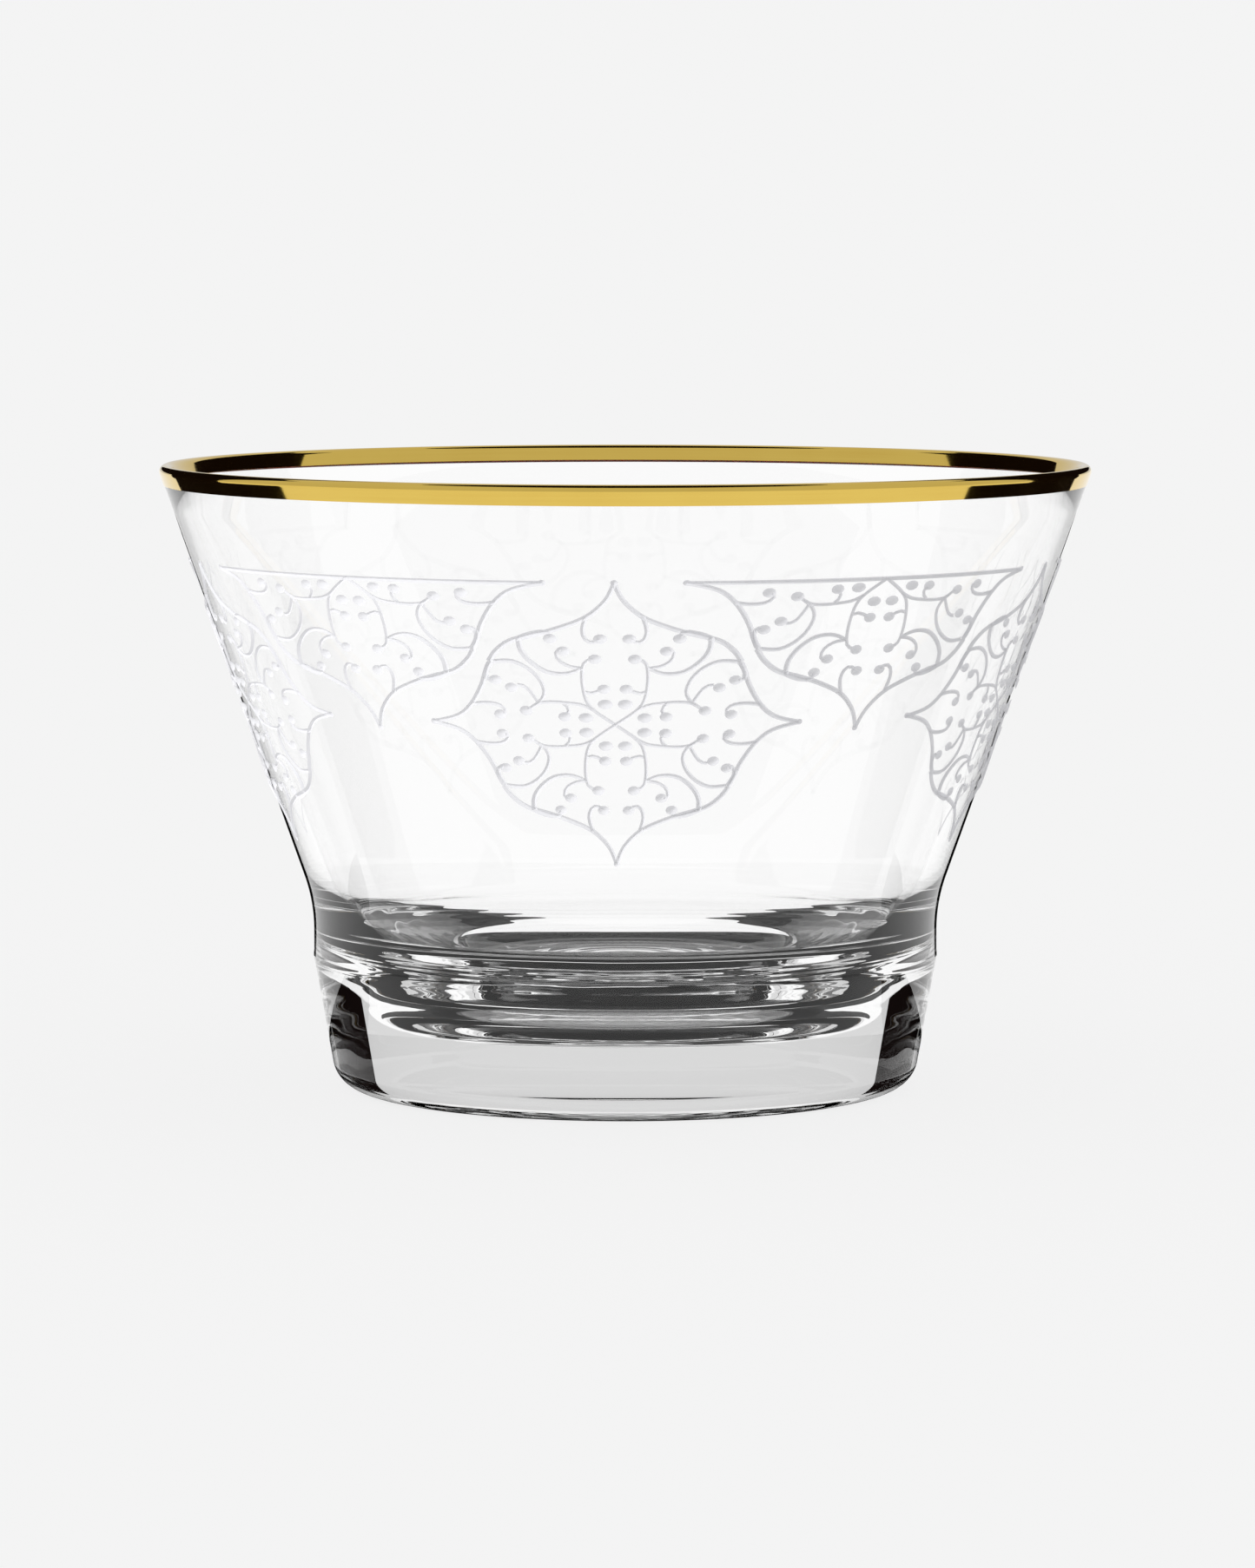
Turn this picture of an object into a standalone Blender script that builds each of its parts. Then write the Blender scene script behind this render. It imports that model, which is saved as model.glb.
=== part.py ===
"""Conical glass dessert bowl on a heavy foot, with a gold band over its rim.

Units are metres and +Z is up. The origin is the centre of the ring the foot rests on, so the
bowl stands on z = 0 and its axis is the Z axis. Sizes below are in millimetres.
"""

import math

import bmesh
import bpy

MM = 0.001
FULL_TURN = 2.0 * math.pi
SEGMENTS = 72
CREASE_ANGLE = math.radians(40.0)
WELD_DISTANCE = 1e-6

# Bowl as a whole
HEIGHT = 74.0
RIM_WALL = 1.4
LOW_WALL = 2.6
LOW_WALL_HEIGHT = 25.5

# Outside: a straight cone over a waist, and a foot that tapers down to a rounded corner
CONE_SLOPE = 0.352
CONE_REACH = 29.27
WAIST_FILLET = 20.0
SHOULDER_RADIUS = 37.1
SHOULDER_HEIGHT = 15.8
SHOULDER_ROUND = 3.0
FOOT_SLOPE = 0.18
CORNER_ROUND = 3.6

# Underside: a flat resting ring round a shallow dished recess
RING_INNER_RADIUS = 26.0
RECESS_DEPTH = 1.2

# Inside: a straight cone, and below it a flare that narrows to a well with a flat floor
FLOOR_HEIGHT = 8.3
WELL_RADIUS = 20.6
WELL_HEIGHT = 12.2
WELL_FLAT = 14.0
WELL_DIP = 0.1
WELL_LEAN = 0.6
FLARE_HEIGHT = 20.0
FLARE_REACH = 3.2
FLARE_LEAN = 0.5

# Gold band: wraps the lip and covers the top of the wall, less deep inside than outside
OUTER_BAND_DEPTH = 2.3
INNER_BAND_DEPTH = 1.8
BAND_THICKNESS = 0.2
BAND_GAP = 0.25

# Points on each rounded stretch
FLOOR_STEPS = 7
FILLET_STEPS = 5
LIP_STEPS = 6
SHOULDER_STEPS = 4
CORNER_STEPS = 4
RECESS_STEPS = 3

WALL_ANGLE = math.atan(CONE_SLOPE)
FOOT_ANGLE = math.atan(FOOT_SLOPE)

GLASS_COLOUR = (0.92, 0.95, 0.95, 1.0)
GLASS_ROUGHNESS = 0.03
GLASS_IOR = 1.52
GOLD_COLOUR = (0.72, 0.50, 0.13, 1.0)
GOLD_ROUGHNESS = 0.12


def arc(centre, radius, start, end, steps):
    """Points (radius, height) along a circular arc; the angles are in radians from +r to +z."""
    points = []
    for step in range(steps + 1):
        angle = start + (end - start) * step / steps
        points.append((centre[0] + radius * math.cos(angle), centre[1] + radius * math.sin(angle)))
    return points


def cubic(start, leaving, coming, end, steps):
    """Points along a cubic curve from its two ends and their handles."""
    points = []
    for step in range(steps + 1):
        share = step / steps
        rest = 1.0 - share
        weights = (rest ** 3, 3.0 * rest * rest * share, 3.0 * rest * share * share, share ** 3)
        corners = (start, leaving, coming, end)
        radius = sum(weight * corner[0] for weight, corner in zip(weights, corners))
        height = sum(weight * corner[1] for weight, corner in zip(weights, corners))
        points.append((radius, height))
    return points


def outer_radius(height):
    """Radius of the outer cone at a height."""
    return CONE_REACH + CONE_SLOPE * height


def lip_centre():
    """Centre of the half round that closes the lip, on the middle of the wall."""
    height = HEIGHT - RIM_WALL / 2.0
    return (outer_radius(height) - RIM_WALL / 2.0 / math.cos(WALL_ANGLE), height)


def wall_point(inset, height):
    """Point on the outer cone at a height, moved into the wall by the inset."""
    return (outer_radius(height) - inset / math.cos(WALL_ANGLE), height)


def inner_wall_line():
    """Slope and radius at height 0 of the line that the inner cone follows.

    It is RIM_WALL inside the outer cone at the lip and LOW_WALL inside it low on the wall.
    """
    top_radius, top = wall_point(RIM_WALL, HEIGHT)
    low_radius, low = wall_point(LOW_WALL, LOW_WALL_HEIGHT)
    slope = (top_radius - low_radius) / (top - low)
    return slope, low_radius - slope * low


def floor_outline():
    """Flat floor, steep side of the well, and the flare up to the inner cone."""
    slope, reach = inner_wall_line()
    side = (WELL_RADIUS, WELL_HEIGHT)
    meeting = (reach + slope * FLARE_HEIGHT, FLARE_HEIGHT)
    well = cubic((0.0, FLOOR_HEIGHT), (WELL_FLAT, FLOOR_HEIGHT - WELL_DIP),
                 (WELL_RADIUS - WELL_LEAN, FLOOR_HEIGHT), side, FLOOR_STEPS)
    flare = cubic(side, (WELL_RADIUS + FLARE_LEAN, WELL_HEIGHT + FLARE_REACH),
                  (meeting[0] - slope * FLARE_REACH, meeting[1] - FLARE_REACH), meeting,
                  FLOOR_STEPS)
    return well + flare[1:]


def tongue_outline():
    """Top of the wall from inside to outside, set in under the gold band to leave it room."""
    room = BAND_THICKNESS + BAND_GAP
    inner_bottom = HEIGHT - INNER_BAND_DEPTH
    outer_bottom = HEIGHT - OUTER_BAND_DEPTH
    inner_ledge = wall_point(RIM_WALL, inner_bottom)
    inner_tongue = wall_point(RIM_WALL - room, inner_bottom)
    outer_tongue = wall_point(room, outer_bottom)
    outer_ledge = wall_point(0.0, outer_bottom)
    tip = arc(lip_centre(), RIM_WALL / 2.0 - room, math.pi - WALL_ANGLE, -WALL_ANGLE, LIP_STEPS)
    return [inner_ledge, inner_tongue] + tip + [outer_tongue, outer_ledge]


def waist_outline():
    """Hollow fillet from the cone to the waist; it touches the cone and ends upright."""
    waist_radius = SHOULDER_RADIUS - SHOULDER_ROUND * (1.0 - math.cos(FOOT_ANGLE))
    centre_radius = waist_radius + WAIST_FILLET
    cone_at_touch = centre_radius - WAIST_FILLET / math.cos(WALL_ANGLE)
    centre = (centre_radius, (cone_at_touch - CONE_REACH) / CONE_SLOPE)
    return arc(centre, WAIST_FILLET, math.pi - WALL_ANGLE, math.pi, FILLET_STEPS)


def shoulder_outline():
    """Small round shoulder at the top of the foot, from upright to the foot's taper."""
    centre = (SHOULDER_RADIUS - SHOULDER_ROUND, SHOULDER_HEIGHT)
    return arc(centre, SHOULDER_ROUND, FOOT_ANGLE, -FOOT_ANGLE, SHOULDER_STEPS)


def corner_outline():
    """Rounded bottom corner of the foot, from its taper down to the resting ring."""
    shoulder_end = shoulder_outline()[-1]
    drop = shoulder_end[1] - CORNER_ROUND * (1.0 - math.sin(FOOT_ANGLE))
    side_radius = shoulder_end[0] - FOOT_SLOPE * drop
    centre = (side_radius - CORNER_ROUND * math.cos(FOOT_ANGLE), CORNER_ROUND)
    return arc(centre, CORNER_ROUND, -FOOT_ANGLE, -math.pi / 2.0, CORNER_STEPS)


def recess_outline():
    """Shallow dish under the foot, from the resting ring up to the axis."""
    sphere = (RING_INNER_RADIUS ** 2 + RECESS_DEPTH ** 2) / (2.0 * RECESS_DEPTH)
    points = []
    for step in range(RECESS_STEPS + 1):
        radius = RING_INNER_RADIUS * (1.0 - step / RECESS_STEPS)
        points.append((radius, RECESS_DEPTH - sphere + math.sqrt(sphere ** 2 - radius ** 2)))
    return points


def glass_outline():
    """Section of the glass, from the axis inside, over the lip, to the axis underneath."""
    return (floor_outline() + tongue_outline() + waist_outline() + shoulder_outline()
            + corner_outline() + recess_outline())


def band_outline():
    """Closed U section of the gold band, open side down over the lip."""
    inner_bottom = HEIGHT - INNER_BAND_DEPTH + BAND_GAP
    outer_bottom = HEIGHT - OUTER_BAND_DEPTH + BAND_GAP
    centre = lip_centre()
    outside = [wall_point(0.0, outer_bottom)]
    outside += arc(centre, RIM_WALL / 2.0, -WALL_ANGLE, math.pi - WALL_ANGLE, LIP_STEPS)
    outside.append(wall_point(RIM_WALL, inner_bottom))
    lining = [wall_point(RIM_WALL - BAND_THICKNESS, inner_bottom)]
    lining += arc(centre, RIM_WALL / 2.0 - BAND_THICKNESS, math.pi - WALL_ANGLE, -WALL_ANGLE,
                  LIP_STEPS)
    lining.append(wall_point(BAND_THICKNESS, outer_bottom))
    return outside + lining


def turned_mesh(name, outline, closed):
    """Mesh made by turning a section round the Z axis."""
    mesh = bpy.data.meshes.new(name)
    bm = bmesh.new()
    verts = [bm.verts.new((radius * MM, 0.0, height * MM)) for radius, height in outline]
    pairs = list(zip(verts, verts[1:]))
    if closed:
        pairs.append((verts[-1], verts[0]))
    edges = [bm.edges.new(pair) for pair in pairs]
    bmesh.ops.spin(bm, geom=verts + edges, cent=(0.0, 0.0, 0.0), axis=(0.0, 0.0, 1.0),
                   angle=FULL_TURN, steps=SEGMENTS, use_merge=True)
    bmesh.ops.remove_doubles(bm, verts=bm.verts, dist=WELD_DISTANCE)
    bmesh.ops.recalc_face_normals(bm, faces=bm.faces)
    bm.to_mesh(mesh)
    bm.free()
    mesh.shade_smooth()
    mesh.set_sharp_from_angle(angle=CREASE_ANGLE)
    return mesh


def add_part(name, mesh, material):
    """Put a mesh in the scene as a named object with its own material."""
    mesh.materials.append(material)
    part = bpy.data.objects.new(name, mesh)
    bpy.context.collection.objects.link(part)
    return part


def clear_glass():
    """Clear soda-lime glass."""
    material = bpy.data.materials.new("clear_glass")
    material.use_nodes = True
    shader = material.node_tree.nodes["Principled BSDF"]
    shader.inputs["Base Color"].default_value = GLASS_COLOUR
    shader.inputs["Roughness"].default_value = GLASS_ROUGHNESS
    shader.inputs["Metallic"].default_value = 0.0
    shader.inputs["IOR"].default_value = GLASS_IOR
    shader.inputs["Transmission Weight"].default_value = 1.0
    return material


def bright_gold():
    """Bright gold, fired on to the glass."""
    material = bpy.data.materials.new("bright_gold")
    material.use_nodes = True
    shader = material.node_tree.nodes["Principled BSDF"]
    shader.inputs["Base Color"].default_value = GOLD_COLOUR
    shader.inputs["Roughness"].default_value = GOLD_ROUGHNESS
    shader.inputs["Metallic"].default_value = 1.0
    return material


def clear_scene():
    """Remove every object from the scene."""
    for leftover in list(bpy.data.objects):
        bpy.data.objects.remove(leftover, do_unlink=True)


def main():
    """Build both nodes of the bowl."""
    clear_scene()
    glass_mesh = turned_mesh("glass_bowl", glass_outline(), closed=False)
    add_part("glass_bowl", glass_mesh, clear_glass())
    band_mesh = turned_mesh("gold_rim", band_outline(), closed=True)
    add_part("gold_rim", band_mesh, bright_gold())


main()
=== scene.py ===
"""Looks of a conical glass dessert bowl: clear glass, a fired gold band and engraved ornament.

Metres throughout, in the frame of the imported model: +Z up, the foot stands on z = 0 and the
camera looks along +Y. Sizes that a maker would give in millimetres are written in millimetres
and turned to metres with MM.
"""

import logging
import math
from dataclasses import dataclass
from enum import Enum

import bpy
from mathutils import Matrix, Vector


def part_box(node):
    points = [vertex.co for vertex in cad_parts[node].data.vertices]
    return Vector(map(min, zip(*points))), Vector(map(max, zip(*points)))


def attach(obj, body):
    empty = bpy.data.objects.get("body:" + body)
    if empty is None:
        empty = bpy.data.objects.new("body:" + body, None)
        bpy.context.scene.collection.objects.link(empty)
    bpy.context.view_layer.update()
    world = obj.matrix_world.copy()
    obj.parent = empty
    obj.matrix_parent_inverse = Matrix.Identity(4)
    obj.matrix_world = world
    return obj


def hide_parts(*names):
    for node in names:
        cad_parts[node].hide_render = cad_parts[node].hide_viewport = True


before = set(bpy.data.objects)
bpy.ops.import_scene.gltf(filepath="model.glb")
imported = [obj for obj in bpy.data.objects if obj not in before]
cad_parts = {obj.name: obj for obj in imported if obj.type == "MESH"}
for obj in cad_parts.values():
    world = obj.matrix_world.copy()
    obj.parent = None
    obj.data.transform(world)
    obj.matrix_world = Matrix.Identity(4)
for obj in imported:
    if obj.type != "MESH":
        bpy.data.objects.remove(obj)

MM = 0.001
FULL_TURN = 2.0 * math.pi
CREASE = math.radians(35.0)
WELD_DISTANCE = 1e-6
LIGHT_BOUNCES = 40
MIRROR_BOUNCES = 16
WHITE = (1.0, 1.0, 1.0, 1.0)

# Length of one wave of the wave texture at scale 1, and the mix node's two colour inputs
WAVE_UNIT = 0.314
MIX_COLOURS = (6, 7)

Point = tuple[float, float]
Corners = list[tuple[float, float, float]]
Tree = bpy.types.NodeTree
Socket = bpy.types.NodeSocket
Sockets = bpy.types.NodeOutputs
Material = bpy.types.Material
Piece = bpy.types.Object
Number = Socket | float

logging.basicConfig(level=logging.INFO, format="%(name)s: %(message)s")
log = logging.getLogger("bowl")


class Side(Enum):
    """Which side of the set a card stands on; the value is the sign of its x."""

    LEFT = -1.0
    RIGHT = 1.0


class Sight(Enum):
    """Which rays meet a black card."""

    REFRACTED = "refracted by the glass"
    MIRRORED = "mirrored by the glass or the gold"
    GOLD = "mirrored by the gold"
    GOLD_OR_REFRACTED = "refracted by the glass, or mirrored by the gold"


class Motif(Enum):
    """The two figures that alternate round the wall: a whole one, and one cut off by a line."""

    WHOLE = "whole"
    HALF = "half"


def linear_colour(code: str) -> tuple[float, float, float, float]:
    """Turn an sRGB hex colour to linear light.

    Args:
        code: Six hex digits, such as "d8b45c".

    Returns:
        Red, green, blue and an alpha of 1.
    """
    channels = []
    for start in (0, 2, 4):
        value = int(code[start:start + 2], 16) / 255.0
        if value <= 0.04045:
            channels.append(value / 12.92)
        else:
            channels.append(((value + 0.055) / 1.055) ** 2.4)
    return (channels[0], channels[1], channels[2], 1.0)


def add_node(tree: Tree, kind: str, settings: dict | None = None,
             inputs: dict | None = None) -> bpy.types.Node:
    """Add a node to a tree, with its settings, and set or link its inputs.

    Args:
        tree: The tree that gets the node.
        kind: The node's type name.
        settings: Attribute names and values.
        inputs: Input names or numbers, with a value or with the socket that feeds it.

    Returns:
        The new node.
    """
    node = tree.nodes.new(kind)
    for name, value in (settings or {}).items():
        setattr(node, name, value)
    for key, value in (inputs or {}).items():
        if isinstance(value, Socket):
            tree.links.new(value, node.inputs[key])
        else:
            node.inputs[key].default_value = value
    return node


def new_material(name: str) -> tuple[Material, Tree]:
    """Make an empty node material.

    Args:
        name: The material's name.

    Returns:
        The material and its tree.
    """
    material = bpy.data.materials.new(name)
    material.use_nodes = True
    material.node_tree.nodes.clear()
    return material, material.node_tree


def split_place(tree: Tree) -> tuple[Socket, Sockets,
                                                   Socket]:
    """Read the place on a piece, in its own coordinates.

    Args:
        tree: A material's tree.

    Returns:
        The place, its three parts, and the place with its height left out.
    """
    place = add_node(tree, "ShaderNodeTexCoord").outputs["Object"]
    axes = add_node(tree, "ShaderNodeSeparateXYZ", inputs={0: place}).outputs
    flat = add_node(tree, "ShaderNodeCombineXYZ", inputs={"X": axes["X"], "Y": axes["Y"]})
    return place, axes, flat.outputs[0]


def vector_maths(tree: Tree, operation: str, **inputs: Number) -> Sockets:
    """Work out a vector sum.

    Args:
        tree: The tree that gets the node.
        operation: The sum's name.
        inputs: The vectors, as first and second, and the factor, as factor.

    Returns:
        The node's outputs.
    """
    names = {"first": 0, "second": 1, "factor": "Scale"}
    return add_node(tree, "ShaderNodeVectorMath", {"operation": operation},
                    {names[key]: value for key, value in inputs.items()}).outputs


def maths(tree: Tree, operation: str, first: Number, second: Number = 0.0) -> Socket:
    """Work out one number.

    Args:
        tree: The tree that gets the node.
        operation: The sum's name.
        first: The first number, or the socket that gives it.
        second: The second one.

    Returns:
        The result.
    """
    return add_node(tree, "ShaderNodeMath", {"operation": operation},
                    {0: first, 1: second}).outputs[0]


def blended_colour(tree: Tree, share: Socket, first: str,
                   second: str) -> Socket:
    """Go from one colour to another.

    Args:
        tree: A material's tree.
        share: How much of the second colour, from 0 to 1.
        first: Hex code of the first colour.
        second: Hex code of the second one.

    Returns:
        The colour.
    """
    mixed = add_node(tree, "ShaderNodeMix", {"data_type": "RGBA"}, {0: share})
    for number, code in zip(MIX_COLOURS, (first, second)):
        mixed.inputs[number].default_value = linear_colour(code)
    return mixed.outputs[2]


def arc(centre: Point, radius: float, start: float, end: float, steps: int) -> list[Point]:
    """Points along a circular arc in the section plane.

    Args:
        centre: Radius and height of the arc's centre.
        radius: The arc's radius.
        start: Angle of its first point, from +r towards +z.
        end: Angle of its last point.
        steps: Number of stretches between its points.

    Returns:
        The points, first to last.
    """
    points = []
    for step in range(steps + 1):
        angle = start + (end - start) * step / steps
        points.append((centre[0] + radius * math.cos(angle), centre[1] + radius * math.sin(angle)))
    return points


def bezier(start: Point, leaving: Point, coming: Point, end: Point, steps: int) -> list[Point]:
    """Points along a cubic curve.

    Args:
        start: Its first point.
        leaving: Handle of the first point.
        coming: Handle of the last point.
        end: Its last point.
        steps: Number of stretches between its points.

    Returns:
        The points, first to last.
    """
    points = []
    for step in range(steps + 1):
        share = step / steps
        rest = 1.0 - share
        weights = (rest ** 3, 3.0 * rest * rest * share, 3.0 * rest * share * share, share ** 3)
        points.append(tuple(sum(weight * point[axis] for weight, point
                                in zip(weights, (start, leaving, coming, end)))
                            for axis in (0, 1)))
    return points


def straight(start: Point, end: Point, steps: int) -> list[Point]:
    """Points between two ends of a straight stretch, without the ends.

    Args:
        start: The end before the first point.
        end: The end after the last point.
        steps: Number of stretches, ends included.

    Returns:
        The points in between.
    """
    points = []
    for step in range(1, steps):
        share = step / steps
        points.append((start[0] + (end[0] - start[0]) * share,
                       start[1] + (end[1] - start[1]) * share))
    return points


@dataclass(frozen=True)
class SodaLimeGlass:
    """Clear soda-lime glass, pressed in a mould and fire polished.

    It is colourless and mirror smooth. Where it is seen along its face its colour is painted
    dark grey, a painted shade that draws dark lines along its outlines. The thick floor keeps
    slight rings and patches from the plunger. Sizes in millimetres.
    """

    tint: str = "ffffff"
    # Painted shade: dark grey put into the glass colour where the face is seen edge-on
    painted_edge_shade: str = "54585b"
    edge_narrowness: float = 12.0
    ior: float = 1.5
    roughness: float = 0.0
    ring_spacing: float = 2.4
    patch_size: float = 5.0
    mark_depth: float = 0.05
    floor_top: float = 21.0
    floor_bottom: float = 4.0
    floor_radius: float = 31.0
    fade: float = 3.0

    def fading(self, tree: Tree, value: Socket, none: float,
               full: float) -> Socket:
        """Ramp from 0 at one length to 1 at another.

        Args:
            tree: The material's tree.
            value: The length that counts, in metres.
            none: Length at which the ramp is 0, in millimetres.
            full: Length at which it is 1.

        Returns:
            The ramp.
        """
        ramp = add_node(tree, "ShaderNodeMapRange", {"interpolation_type": "SMOOTHSTEP"}, {
            "Value": value, "From Min": none * MM, "From Max": full * MM,
        })
        return ramp.outputs[0]

    def chill_marks(self, tree: Tree) -> Socket:
        """Relief of the pressed floor: turning rings and uneven patches left by the plunger.

        Args:
            tree: The material's tree.

        Returns:
            The normal.
        """
        place, axes, flat = split_place(tree)
        radius = vector_maths(tree, "LENGTH", first=flat)["Value"]
        rings = add_node(tree, "ShaderNodeTexWave", {
            "wave_type": "RINGS", "rings_direction": "Z", "wave_profile": "SIN",
        }, {
            "Vector": place, "Scale": WAVE_UNIT / (self.ring_spacing * MM),
            "Distortion": 1.5, "Detail": 1.0, "Detail Scale": 0.5,
        })
        patches = add_node(tree, "ShaderNodeTexNoise", inputs={
            "Vector": place, "Scale": 1.0 / (self.patch_size * MM), "Detail": 2.0,
        })
        marks = maths(tree, "ADD", rings.outputs["Fac"], patches.outputs[0])
        for value, none, full in (
                (radius, self.floor_radius + self.fade, self.floor_radius),
                (axes["Z"], self.floor_top + self.fade, self.floor_top),
                (axes["Z"], self.floor_bottom - self.fade, self.floor_bottom)):
            marks = maths(tree, "MULTIPLY", marks, self.fading(tree, value, none, full))
        relief = add_node(tree, "ShaderNodeBump", inputs={
            "Height": marks, "Distance": self.mark_depth * MM, "Strength": 1.0,
        })
        return relief.outputs[0]

    def build(self) -> Material:
        """Make the material.

        Returns:
            The finished material.
        """
        material, tree = new_material("clear_soda_lime_glass")
        # Painted shade: the base colour goes to dark grey towards grazing view, drawing dark lines
        # along the outlines
        edge = add_node(tree, "ShaderNodeLayerWeight", inputs={"Blend": 0.5})
        painted_edge_shade_share = maths(tree, "POWER", edge.outputs["Facing"], self.edge_narrowness)
        shader = add_node(tree, "ShaderNodeBsdfPrincipled", inputs={
            "Base Color": blended_colour(tree, painted_edge_shade_share, self.tint, self.painted_edge_shade),
            "Roughness": self.roughness,
            "IOR": self.ior,
            "Transmission Weight": 1.0,
            "Normal": self.chill_marks(tree),
        })
        add_node(tree, "ShaderNodeOutputMaterial", inputs={"Surface": shader.outputs["BSDF"]})
        return material


@dataclass(frozen=True)
class FiredGold:
    """Bright gold: a resinate film painted on with a brush and fired.

    It is a mirror that takes on the glass's fire polish, with a faint brushed unevenness.
    Sizes in millimetres.
    """

    colour: str = "e3c463"
    thin_colour: str = "d3ae4e"
    roughness: float = 0.03
    worn_roughness: float = 0.10
    streak_length: float = 26.0
    streak_width: float = 0.35
    pool_size: float = 9.0
    bump: float = 0.002
    rim_radius: float = 54.0

    def brush_noise(self, tree: Tree, length: float,
                    width: float) -> Socket:
        """Noise drawn out along the rim, as the brush ran.

        Args:
            tree: The material's tree.
            length: Length of a streak round the rim, in millimetres.
            width: Its width, in millimetres.

        Returns:
            The noise, from 0 to 1.
        """
        _, axes, flat = split_place(tree)
        unit = vector_maths(tree, "NORMALIZE", first=flat)[0]
        turned = vector_maths(tree, "SCALE", first=unit, factor=self.rim_radius / length)[0]
        height = maths(tree, "DIVIDE", axes["Z"], width * MM)
        upward = add_node(tree, "ShaderNodeCombineXYZ", inputs={"Z": height})
        drawn = vector_maths(tree, "ADD", first=turned, second=upward.outputs[0])[0]
        noise = add_node(tree, "ShaderNodeTexNoise", inputs={
            "Vector": drawn, "Scale": 1.0, "Detail": 3.0,
        })
        return noise.outputs[0]

    def build(self) -> Material:
        """Make the material.

        Returns:
            The finished material.
        """
        material, tree = new_material("fired_bright_gold")
        streaks = self.brush_noise(tree, self.streak_length, self.streak_width)
        pools = self.brush_noise(tree, self.pool_size, self.pool_size)
        thin = maths(tree, "MULTIPLY", streaks, pools)
        gloss = add_node(tree, "ShaderNodeMapRange", inputs={
            "Value": pools,
            "From Min": 0.35,
            "From Max": 0.75,
            "To Min": self.roughness,
            "To Max": self.worn_roughness,
        })
        relief = add_node(tree, "ShaderNodeBump", inputs={
            "Height": streaks, "Distance": self.bump * MM, "Strength": 0.5,
        })
        shader = add_node(tree, "ShaderNodeBsdfPrincipled", inputs={
            "Base Color": blended_colour(tree, thin, self.colour, self.thin_colour),
            "Metallic": 1.0,
            "Roughness": gloss.outputs[0],
            "Normal": relief.outputs[0],
        })
        add_node(tree, "ShaderNodeOutputMaterial", inputs={"Surface": shader.outputs["BSDF"]})
        return material


@dataclass(frozen=True)
class MattEngraving:
    """Wheel-engraved glass: the cut is left matt, so it scatters light to a soft grey white.

    Seen from behind, through the wall, the scattered light is lost in the white surroundings.
    """

    colour: str = "d0d0d3"
    worn_colour: str = "e8e8ea"
    grain: float = 0.16
    streak: float = 3.0
    clear_share: float = 0.12
    behind_share: float = 0.99
    bump: float = 0.004
    wall_slope: float = 0.352
    steepest: float = 0.45

    def hidden_side(self, tree: Tree) -> Socket:
        """Find the underside and the steep sides of the relief.

        Args:
            tree: The material's tree.

        Returns:
            1 there, and 0 on what faces outwards.
        """
        _, axes, flat = split_place(tree)
        radius = vector_maths(tree, "LENGTH", first=flat)["Value"]
        outward = add_node(tree, "ShaderNodeCombineXYZ", inputs={
            "X": axes["X"], "Y": axes["Y"], "Z": maths(tree, "MULTIPLY", radius, -self.wall_slope),
        })
        unit = vector_maths(tree, "NORMALIZE", first=outward.outputs[0])[0]
        faces = add_node(tree, "ShaderNodeNewGeometry").outputs
        lean = vector_maths(tree, "DOT_PRODUCT", first=faces["Normal"], second=unit)["Value"]
        return maths(tree, "MAXIMUM", faces["Backfacing"],
                     maths(tree, "LESS_THAN", lean, self.steepest))

    def build(self) -> Material:
        """Make the material.

        Returns:
            The finished material.
        """
        material, tree = new_material("matt_engraved_glass")
        place = add_node(tree, "ShaderNodeTexCoord").outputs["Object"]
        grain, wear = (add_node(tree, "ShaderNodeTexNoise", inputs={
            "Vector": place, "Scale": 1.0 / (size * MM), "Detail": detail,
        }).outputs[0] for size, detail in ((self.grain, 2.0), (self.streak, 3.0)))
        blend = maths(tree, "MULTIPLY", grain, wear)
        relief = add_node(tree, "ShaderNodeBump", inputs={
            "Height": grain, "Distance": self.bump * MM, "Strength": 0.6,
        })
        frost = add_node(tree, "ShaderNodeBsdfDiffuse", inputs={
            "Color": blended_colour(tree, blend, self.colour, self.worn_colour),
            "Roughness": 0.5,
            "Normal": relief.outputs[0],
        })
        clear = add_node(tree, "ShaderNodeBsdfTransparent")
        share = add_node(tree, "ShaderNodeMapRange", inputs={
            "Value": self.hidden_side(tree),
            "To Min": self.clear_share,
            "To Max": self.behind_share,
        })
        mixed = add_node(tree, "ShaderNodeMixShader", inputs={
            0: share.outputs[0], 1: frost.outputs[0], 2: clear.outputs[0],
        })
        add_node(tree, "ShaderNodeOutputMaterial", inputs={"Surface": mixed.outputs[0]})
        return material


def new_tree(name: str, given: str, made: str, inputs: dict[str, str]) -> tuple:
    """Start a Geometry Nodes tree.

    Args:
        name: The tree's name.
        given: Name of the geometry that it is given.
        made: Name of the geometry that it makes.
        inputs: Names of its other inputs, with their kinds.

    Returns:
        The tree, and the identifiers of those inputs by name.
    """
    tree = bpy.data.node_groups.new(name, "GeometryNodeTree")
    face = tree.interface
    face.new_socket(given, in_out="INPUT", socket_type="NodeSocketGeometry")
    sockets = {}
    for title, kind in inputs.items():
        socket = face.new_socket(title, in_out="INPUT", socket_type=f"NodeSocket{kind}")
        sockets[title] = socket.identifier
    face.new_socket(made, in_out="OUTPUT", socket_type="NodeSocketGeometry")
    return tree, sockets


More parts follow.
